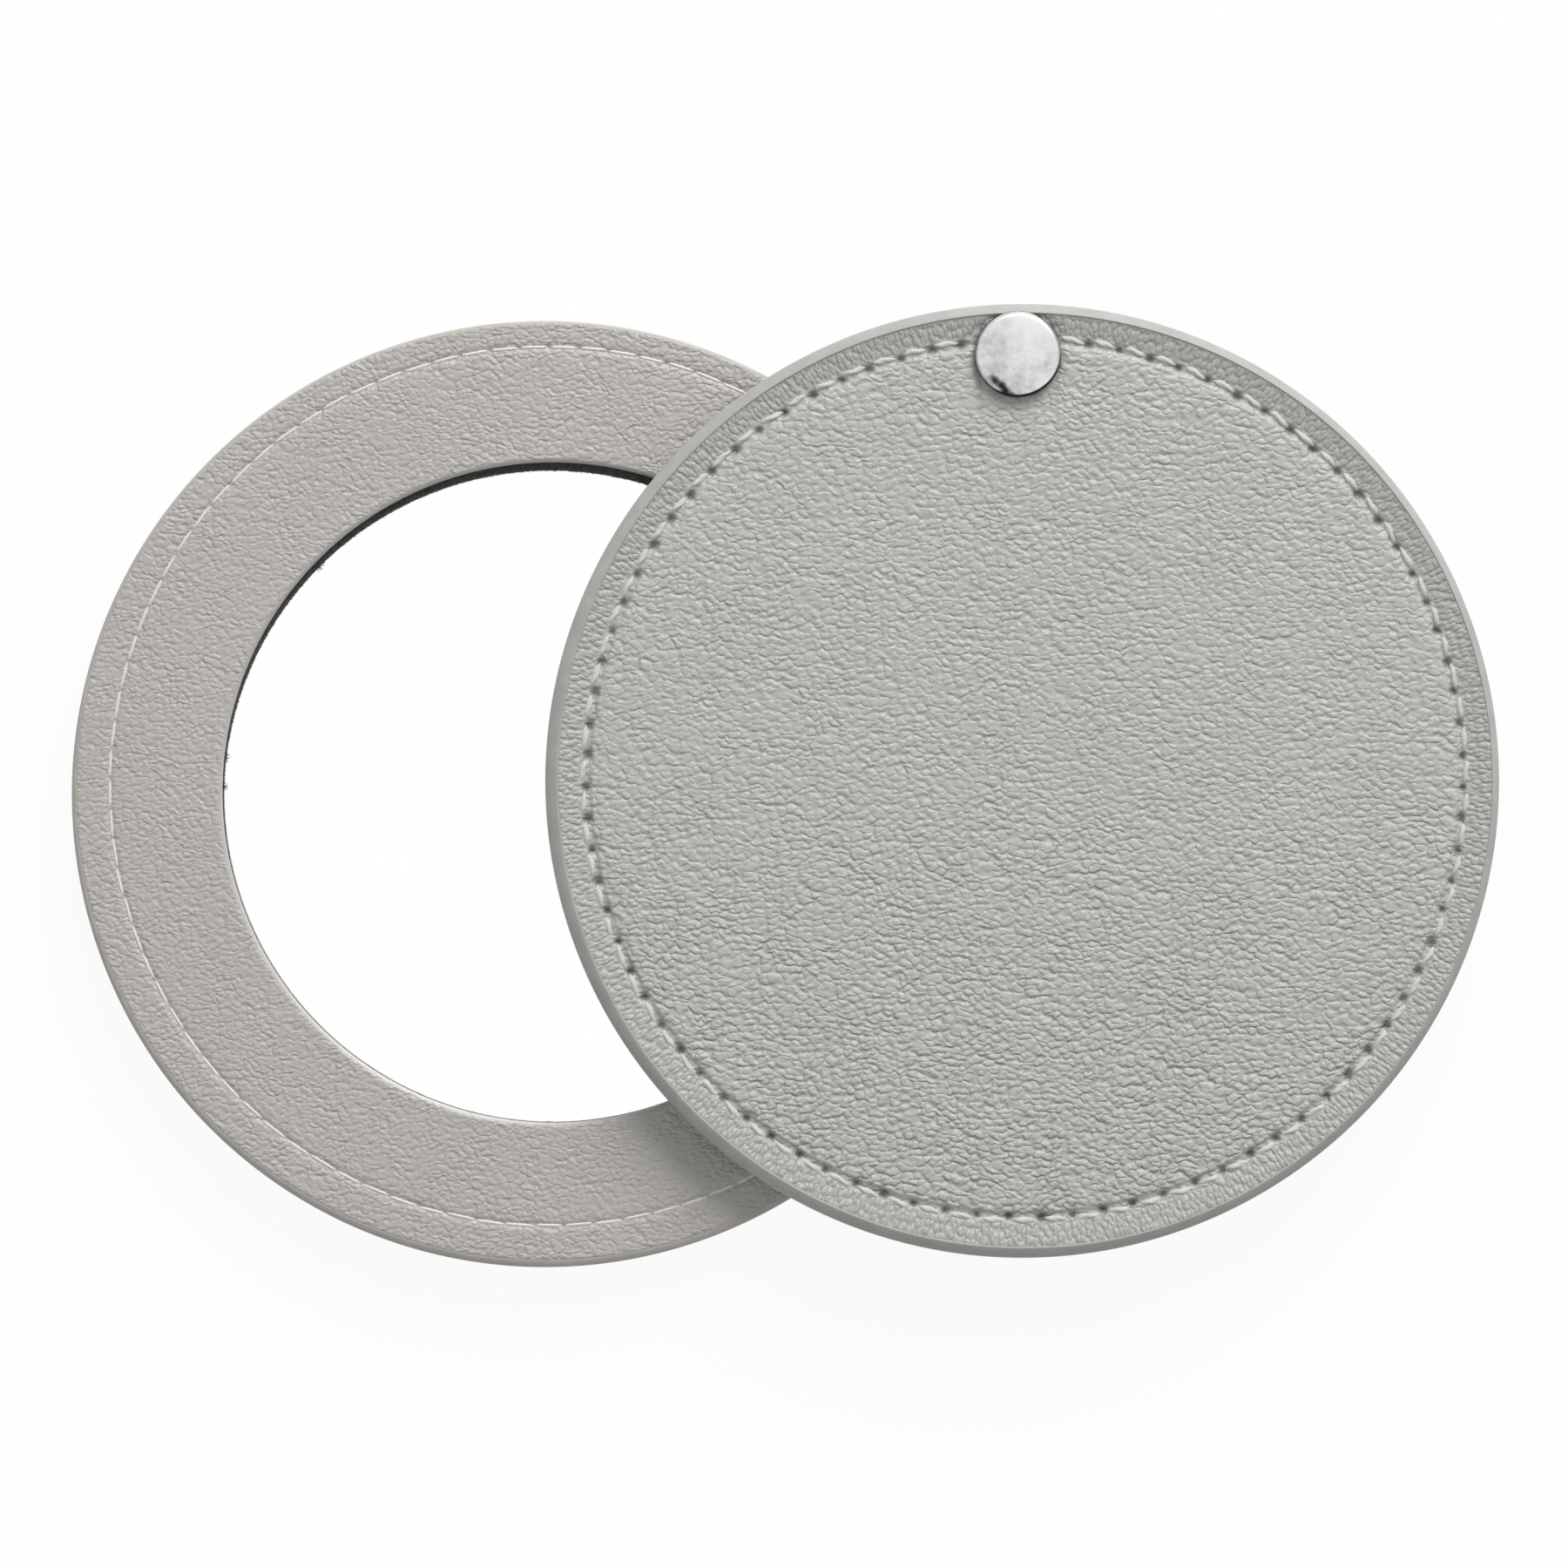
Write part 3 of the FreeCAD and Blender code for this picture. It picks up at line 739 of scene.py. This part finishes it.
def cover_panel(name, node, face, back, columns, marks, chance):
    """A cover panel: flat field, sewn groove and a rim that rises to the crease."""
    up = 1 if face > back else -1
    thick = abs(face - back)
    angles = turn(columns)
    edge = cover_crease(angles) + CREASE_LAP
    field = np.linspace(HUB_RADIUS, COVER_SEAM_RADIUS - COVER_FIELD_GAP, FIELD_RINGS)
    sewn = COVER_SEAM_RADIUS + np.linspace(*COVER_SEAM_SPAN, COVER_SEAM_RINGS)
    rings = [np.full(columns, radius) for radius in (*field, *sewn)]
    radii = np.array(rings + [edge - COVER_RIM_INSET, edge, edge])
    heights = np.zeros((len(radii), 1))
    heights[-1] = -thick
    points = ring_points(COVER, angles, radii, heights)
    sink, pit_and_shade, across = needle_marks(points, COVER_SEAM, COVER_SEAM_RADIUS, COVER_STITCHES, chance, marks,
                                     HOLE_ROOM)
    if up > 0:
        beside_cap = np.abs(plan_distance(points, RIVET) - CAP_RADIUS)
        inside = np.clip((edge - radii) / CAP_PRESS_EDGE, 0, 1)
        sink = sink + CAP_PRESS * inside * fade(beside_cap, CAP_PRESS_REACH)
        # Painted contact shade round the cap, on top of the needle holes' painted shade
        pit_and_shade = np.maximum(pit_and_shade, CAP_SHADE * fade(beside_cap, CAP_SHADE_REACH))
    points[..., 2] = face + up * np.maximum(points[..., 2] - sink, -thick)
    vertices, faces = grid_mesh(points, loop=False)
    rim = np.clip((across - RIM_START) / RIM_BLEND, 0, 1)
    values = per_vertex({"pit_and_shade": pit_and_shade, "rim": rim}, capped=True)
    return make_piece(name, vertices, faces, "cover", "cover_leatherette", [node], PANEL_SHARP, values)


def mirror_panel(name, node, face, back, window, columns, chance):
    """The mirror disc's ring, which has a window, or its back: flat field, sunk seam and eased edges."""
    up = 1 if face > back else -1
    thick = abs(face - back)
    angles = turn(columns)
    seam = distance_to(MIRROR_SEAM - MIRROR, MIRROR_SEAM_RADIUS, angles)
    cut = distance_to(WINDOW_SHIFT, WINDOW_RADIUS, angles)
    outer = mirror_crease(angles) + CREASE_LAP
    start = cut + WINDOW_FIELD_GAP if window else np.full(columns, HUB_RADIUS)
    field_end = seam - MIRROR_FIELD_GAP
    rim_start = seam + MIRROR_SEAM_SPAN
    sewn = np.linspace(-MIRROR_SEAM_SPAN, MIRROR_SEAM_SPAN, MIRROR_SEAM_RINGS)
    rows = []
    if window:
        rows += [(cut, -thick)] + [(cut + inset, -drop) for inset, drop in WINDOW_EDGE]
    rows += [(start + (field_end - start) * share, 0.0) for share in np.linspace(0, 1, FIELD_RINGS)]
    rows += [(seam + offset, 0.0) for offset in sewn]
    rows += [(rim_start + (outer - rim_start) * share, 0.0) for share in MIRROR_RIM_SHARES]
    rows += [(outer - inset, -drop) for inset, drop in RING_EDGE] + [(outer, -thick)]
    radii = np.array([row[0] for row in rows])
    heights = np.array([row[1] for row in rows])[:, None]
    points = ring_points(MIRROR, angles, radii, heights)
    sink, pit_and_shade, _ = needle_marks(points, MIRROR_SEAM, MIRROR_SEAM_RADIUS, MIRROR_STITCHES, chance,
                                MIRROR_MARKS)
    points[..., 2] = face + up * np.clip(points[..., 2] - sink, -thick, 0)
    vertices, faces = grid_mesh(points, loop=window)
    calm = fade(radii - cut - SMOOTH_START, SMOOTH_REACH) if window else np.zeros_like(pit_and_shade)
    values = per_vertex({"pit_and_shade": pit_and_shade, "calm": calm}, capped=not window)
    return make_piece(name, vertices, faces, "mirror_disc", "mirror_leatherette", [node], PANEL_SHARP, values)


def band(name, node, centre, radius, crease, bottom, top, profiles, columns, slot, body):
    """A painted edge with a lip beside each crease; profiles are those of its upper and lower half."""
    above, below = profiles
    angles = turn(columns)
    inner = crease(angles)
    rings = [inner + share * (radius - inner) for share, _ in above + below[::-1]]
    heights = [top - drop for _, drop in above] + [bottom + drop for _, drop in below[::-1]]
    rings += [inner - BAND_TUCK, inner - BAND_TUCK]
    heights += [bottom + BAND_TUCK, top - BAND_TUCK]
    points = ring_points(centre, angles, np.array(rings), np.array(heights)[:, None])
    vertices, faces = grid_mesh(points, loop=True)
    return make_piece(name, vertices, faces, body, slot, [node], EDGE_SHARP)


def threads(name, node, centre, radius, stitches, sizes, face, up, slot, body, chance, cap_room=None):
    """Stitches of two-ply thread that arch out of one needle hole and into the next."""
    share = np.linspace(-1, 1, THREAD_RINGS)[:, None]
    around = np.linspace(0, FULL_TURN, THREAD_SIDES, endpoint=False)[None, :]
    taper = np.clip(1 - np.abs(share) ** sizes["lens"], THREAD_TIP, 1) ** THREAD_FULLNESS
    depth = sizes["sink"] + sizes["height"] / 2 + sizes["dive"] * np.abs(share) ** DIVE_POWER
    # Painted shade towards each end of a thread, where it dives into its needle hole
    tone = np.concatenate([np.repeat(np.abs(share) ** SHADE_POWER, THREAD_SIDES), [1, 1]])
    all_vertices, all_faces = [], []
    base = 0
    for index in range(stitches):
        angle = FULL_TURN * (index + 0.5) / stitches + TWELVE_OCLOCK
        lean = math.radians(sizes["slant"] + chance.uniform(-sizes["sway"], sizes["sway"]))
        stretch = chance.uniform(*THREAD_STRETCH)
        distance = radius + sizes["outward"] + chance.uniform(-THREAD_STRAY, THREAD_STRAY)
        phase = chance.uniform(0, FULL_TURN)
        place = centre + distance * np.array([math.cos(angle), math.sin(angle)])
        if cap_room and np.hypot(*(place - RIVET)) < cap_room:
            continue
        ply = 1 + sizes["ply"] * np.cos(2 * around - sizes["twist"] * np.pi * share + phase)
        side = sizes["width"] / 2 * taper * ply * np.cos(around)
        rise = sizes["height"] / 2 * taper * ply * np.sin(around)
        run = share * sizes["length"] / 2 * stretch
        heading = angle + np.pi / 2 + lean
        x = place[0] + run * math.cos(heading) - side * math.sin(heading)
        y = place[1] + run * math.sin(heading) + side * math.cos(heading)
        vertices, faces = grid_mesh(np.stack([x, y, face + up * (rise - depth)], axis=-1), loop=False)
        all_vertices.append(vertices)
        all_faces += [[corner + base for corner in corners] for corners in faces]
        base += len(vertices)
    values = {"tone": np.tile(tone, len(all_vertices))}
    return make_piece(name, np.vstack(all_vertices), all_faces, body, slot, [node], THREAD_SHARP, values)


def darkness(spots, points):
    """How dark the spots make each point of the cap."""
    dark = np.zeros(points.shape[:2])
    for side, rise, width, depth in spots:
        dark = dark + depth * np.exp(-(plan_distance(points, RIVET + (side, rise)) / width) ** 2)
    return dark


def rivet_cap():
    """The cap: a shallow dome with a bevelled rim, with a painted dark line of shade and reflection at the
    rim and a painted dark reflection in a patch at the lower left.
    """
    foot = COVER_TOP - CAP_SINK
    flat = CAP_RADIUS - CAP_BEVEL
    shoulder = CAP_TOP - CAP_DOME
    drop = shoulder - foot - CAP_SIDE
    domed = np.linspace(CAP_HUB, flat, CAP_DOME_RINGS)
    profile = [(radius, CAP_TOP - CAP_DOME * (radius / flat) ** 2) for radius in domed]
    profile += [(flat + CAP_BEVEL * math.sin(bend), shoulder - drop * (1 - math.cos(bend)))
                for bend in CAP_BEVEL_TURNS]
    profile += [(CAP_RADIUS, foot + CAP_FOOT), (CAP_RADIUS - CAP_FOOT, foot), (CAP_HUB, foot)]
    angles = turn(CAP_COLUMNS)
    radii = np.array([radius for radius, _ in profile])[:, None] + np.zeros(CAP_COLUMNS)
    heights = np.array([height for _, height in profile])[:, None]
    points = ring_points(RIVET, angles, radii, heights)
    # Painted shade and reflection: a dark line round the rim, wider towards the lower right
    wider = np.clip(np.cos(angles + RIM_LINE_TURN), 0, 1) ** 2
    line_start = CAP_RADIUS - (RIM_LINE_WIDTH + RIM_LINE_WIDER * wider)
    line = 1 - fade(np.clip(radii - line_start, 0, None), RIM_LINE_FADE)
    line = np.where(heights < foot + PLAIN_SIDE, PLAIN_SIDE_DARK, line)
    painted_dark = np.clip(RIM_LINE_DARK * line + darkness(CAP_DARK_REFLECTION, points), 0, MOST_PAINTED_DARK)
    vertices, faces = grid_mesh(points, loop=False)
    values = per_vertex({"painted_dark": painted_dark, "grey_reflection": darkness(CAP_GREY_REFLECTION, points)}, capped=True)
    return make_piece("rivet_cap_dome", vertices, faces, "cover", "nickel_cap", ["rivet_cap"], EDGE_SHARP,
                      values)


def packing():
    """The dark packing between the ring and the glass, cut a little smaller than the window."""
    angles = turn(PACKING_COLUMNS)
    cut = distance_to(PACKING_SHIFT, PACKING_RADIUS, angles)
    outer = np.full(PACKING_COLUMNS, PACKING_OUTER)
    radii = np.array([cut + inset for inset, _ in PACKING_EDGE] + [outer, outer])
    shares = np.array([share for _, share in PACKING_EDGE] + [1.0, 0.0])
    heights = PACKING_BOTTOM + (RING_BOTTOM - PACKING_BOTTOM) * shares
    vertices, faces = grid_mesh(ring_points(MIRROR, angles, radii, heights[:, None]), loop=True)
    return make_piece("packing_layer", vertices, faces, "mirror_disc", "dark_packing", ["packing_ring"],
                      PANEL_SHARP)


def fibre_mesh(root, bend, tip, along, width, base):
    """A thin three-sided fibre that tapers to its tip; base is the number of its first vertex."""
    vertices, faces = [], []
    for place, girth in ((root, width), (bend, width * FIBRE_TAPER)):
        for corner in range(FIBRE_SIDES):
            spin = FULL_TURN * corner / FIBRE_SIDES
            upward = np.array([0, 0, girth * math.sin(spin)])
            vertices.append(place + along * girth * math.cos(spin) + upward)
    vertices.append(tip)
    second, point = base + FIBRE_SIDES, base + 2 * FIBRE_SIDES
    for corner in range(FIBRE_SIDES):
        after = (corner + 1) % FIBRE_SIDES
        faces.append([base + corner, base + after, second + after, second + corner])
        faces.append([second + corner, second + after, point])
    faces.append([base + corner for corner in reversed(range(FIBRE_SIDES))])
    return vertices, faces


def packing_fuzz(chance):
    """Loose fibres at the cut edge of the dark packing round the window, with a few longer tufts."""
    all_vertices, all_faces = [], []
    for index in range(FUZZ_FIBRES):
        if index < len(TUFT_TURNS) * TUFT_FIBRES:
            angle = TUFT_TURNS[index % len(TUFT_TURNS)] + chance.normal(0, TUFT_SPREAD)
            length = chance.uniform(*TUFT_LENGTHS)
        else:
            angle = chance.uniform(0, FULL_TURN)
            length = FUZZ_SHORTEST + FUZZ_LONGER * chance.random() ** 2
        height = chance.uniform(*FIBRE_HEIGHTS)
        lean = chance.uniform(-1.0, 1.0)
        drop = chance.uniform(*FIBRE_DROPS) * length
        width = chance.uniform(*FIBRE_WIDTHS)
        inward = np.array([-math.cos(angle), -math.sin(angle), 0.0])
        along = np.array([-math.sin(angle), math.cos(angle), 0.0])
        root = np.array([*(MIRROR + PACKING_SHIFT), height]) - inward * FIBRE_ROOT
        bend = root + inward * length * FIBRE_BEND[0] + along * lean * length * FIBRE_BEND[1]
        tip = root + inward * length + along * lean * length * FIBRE_TIP_LEAN
        tip[2] = max(height + drop, FIBRE_LOWEST)
        vertices, faces = fibre_mesh(root, bend, tip, along, width, len(all_vertices))
        all_vertices += vertices
        all_faces += faces
    return make_piece("packing_fuzz", np.array(all_vertices), all_faces, "mirror_disc", "dark_packing")


def cover_pieces(chance):
    """The cover's two panels and its painted edge."""
    cover_panel("cover_face", "cover_front_panel", COVER_TOP, COVER_PANEL, COVER_COLUMNS, COVER_MARKS, chance)
    cover_panel("cover_lining", "cover_back_panel", COVER_BOTTOM, COVER_LINING, COVER_LINING_COLUMNS,
                LINING_MARKS, chance)
    band("cover_edge", "cover_edge_coat", COVER, COVER_RADIUS, cover_crease, COVER_BOTTOM, COVER_TOP,
         (COVER_BAND, LINING_BAND), COVER_BAND_COLUMNS, "cover_edge_paint", "cover")


def mirror_pieces(chance):
    """The mirror disc's ring, its back and its painted edge."""
    mirror_panel("mirror_ring_face", "mirror_front_ring", MIRROR_TOP, RING_BOTTOM, True, RING_COLUMNS, chance)
    mirror_panel("mirror_lining", "mirror_back_panel", MIRROR_BOTTOM, MIRROR_LINING, False,
                 MIRROR_LINING_COLUMNS, chance)
    band("mirror_edge", "mirror_edge_coat", MIRROR, MIRROR_RADIUS, mirror_crease, MIRROR_BOTTOM, MIRROR_TOP,
         (MIRROR_BAND, MIRROR_BAND), MIRROR_BAND_COLUMNS, "mirror_edge_paint", "mirror_disc")


def seams(chance):
    """The stitches on both faces of both discs."""
    cover = (COVER_SEAM, COVER_SEAM_RADIUS, COVER_STITCHES, COVER_THREAD)
    mirror = (MIRROR_SEAM, MIRROR_SEAM_RADIUS, MIRROR_STITCHES, MIRROR_THREAD)
    threads("cover_threads", "cover_front_stitches", *cover, COVER_TOP, 1, "cover_thread", "cover", chance,
            THREAD_ROOM)
    threads("cover_back_threads", "cover_back_stitches", *cover, COVER_BOTTOM, -1, "cover_thread", "cover",
            chance, THREAD_ROOM)
    threads("mirror_threads", "mirror_front_stitches", *mirror, MIRROR_TOP, 1, "mirror_thread", "mirror_disc",
            chance)
    threads("mirror_back_threads", "mirror_back_stitches", *mirror, MIRROR_BOTTOM, -1, "mirror_thread",
            "mirror_disc", chance)


def studio_floor():
    """A pale floor that glows nearly white to the camera and keeps a faint shadow."""
    bpy.ops.mesh.primitive_plane_add(size=FLOOR_SIZE, location=(0, 0, -FLOOR_GAP))
    floor = bpy.context.object
    floor.name = "studio_floor"
    graph = new_graph("studio_floor")
    graph.shader("Base Color").default_value = FLOOR_GREY
    graph.shader("Roughness").default_value = FLOOR_ROUGHNESS
    glow = graph.add("ShaderNodeEmission", {"Color": WHITE, "Strength": 1.0}).outputs[0]
    share = graph.math("MULTIPLY", graph.sees_background(), FLOOR_GLOW)
    surface = graph.nodes["Principled BSDF"].outputs[0]
    mixed = graph.add("ShaderNodeMixShader", {0: share, 1: surface, 2: glow})
    graph.links.new(mixed.outputs[0], graph.nodes["Material Output"].inputs["Surface"])
    floor.data.materials.append(graph.owner)


def studio_world():
    """White to the camera and in reflections, and an even fill on the object."""
    world = bpy.data.worlds.new("studio")
    bpy.context.scene.world = world
    graph = Graph(world)
    background = graph.nodes["Background"].inputs
    background["Color"].default_value = WHITE
    graph.feed(background["Strength"], graph.ramp(graph.sees_background(), 0.0, 1.0, FILL, 1.0))


def key_light():
    """A soft square lamp that faces the object."""
    data = bpy.data.lights.new("key", "AREA")
    data.size = KEY_SIZE
    data.energy = KEY_POWER
    lamp = bpy.data.objects.new("key", data)
    level = KEY_DISTANCE * math.cos(KEY_RISE)
    height = KEY_DISTANCE * math.sin(KEY_RISE)
    lamp.location = (level * math.cos(KEY_TURN), level * math.sin(KEY_TURN), height)
    lamp.rotation_euler = lamp.location.to_track_quat("Z", "Y").to_euler()
    bpy.context.scene.collection.objects.link(lamp)


def camera():
    """The camera at the photograph's view, with +Y up in the picture."""
    data = bpy.data.cameras.new("camera")
    data.sensor_width = SENSOR
    data.sensor_fit = "HORIZONTAL"
    data.lens = SENSOR * FOCAL_PIXELS / FRAME_PIXELS
    data.clip_start = CLIP_START
    view = bpy.data.objects.new("camera", data)
    back = (EYE - AIM).normalized()
    right = Vector((0, 1, 0)).cross(back).normalized()
    axes = Matrix((right, back.cross(right), back)).transposed().to_4x4()
    view.matrix_world = Matrix.Translation(EYE) @ axes
    bpy.context.scene.collection.objects.link(view)
    bpy.context.scene.camera = view


chance = np.random.default_rng(SEED)
dress_nodes()
cover_pieces(chance)
mirror_pieces(chance)
seams(chance)
rivet_cap()
packing()
packing_fuzz(chance)

studio_floor()
studio_world()
key_light()
camera()
bpy.context.scene.view_settings.view_transform = "Standard"
